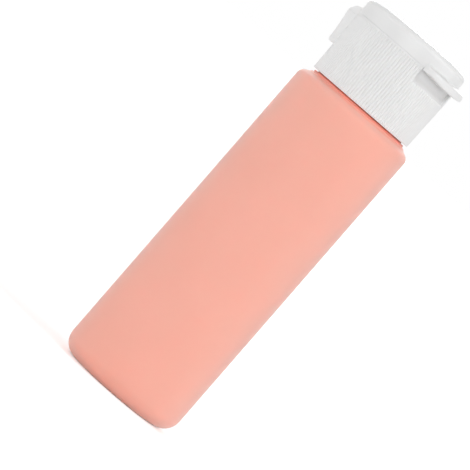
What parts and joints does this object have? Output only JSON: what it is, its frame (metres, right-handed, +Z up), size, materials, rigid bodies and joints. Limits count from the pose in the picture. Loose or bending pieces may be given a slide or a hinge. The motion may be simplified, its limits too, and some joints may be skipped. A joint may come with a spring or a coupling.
{
  "type": "travel squeeze bottle",
  "caption": "Refillable travel bottle: a soft cylindrical squeeze body with a screw-on ribbed cap and a hinged flip-top lid.",
  "frame": {"origin": "centre of the foot, on the surface that the bottle stands on", "axes": "+Z up along the bottle's axis, -Y towards the thumb lip of the lid, +Y towards its hinge"},
  "size_m": [0.037, 0.0392, 0.1233],
  "materials": {
    "soft_silicone": "matte translucent moulded silicone",
    "cap_plastic": "satin moulded polypropylene",
    "collar_plastic": "satin moulded polypropylene",
    "gasket_rubber": "matte soft seal"
  },
  "bodies": {
    "bottle": {"squeeze_body": "soft_silicone", "neck_collar": "collar_plastic"},
    "seal": {"cap_gasket": "gasket_rubber"},
    "cap": {"cap_base": "cap_plastic", "hinge_film": "cap_plastic"},
    "lid": {"flip_lid": "cap_plastic"}
  },
  "joints": [
    {"name": "cap_lift", "type": "slide", "parent": "bottle", "child": "seal", "axis": [0, 0, 1], "range_m": [0, 0.017]},
    {"name": "cap_turn", "type": "hinge", "parent": "seal", "child": "cap", "pos_m": [0, 0, 0.1], "axis": [0, 0, 1], "range_deg": [0, 1440]},
    {"name": "lid_flip", "type": "hinge", "parent": "cap", "child": "lid", "pos_m": [0, 0.0192, 0.11615], "axis": [-1, 0, 0], "range_deg": [0, 150]}
  ],
  "couplings": [
    {"joint": "cap_lift", "follows": "cap_turn", "m_per_rad": 0.00067322}
  ]
}
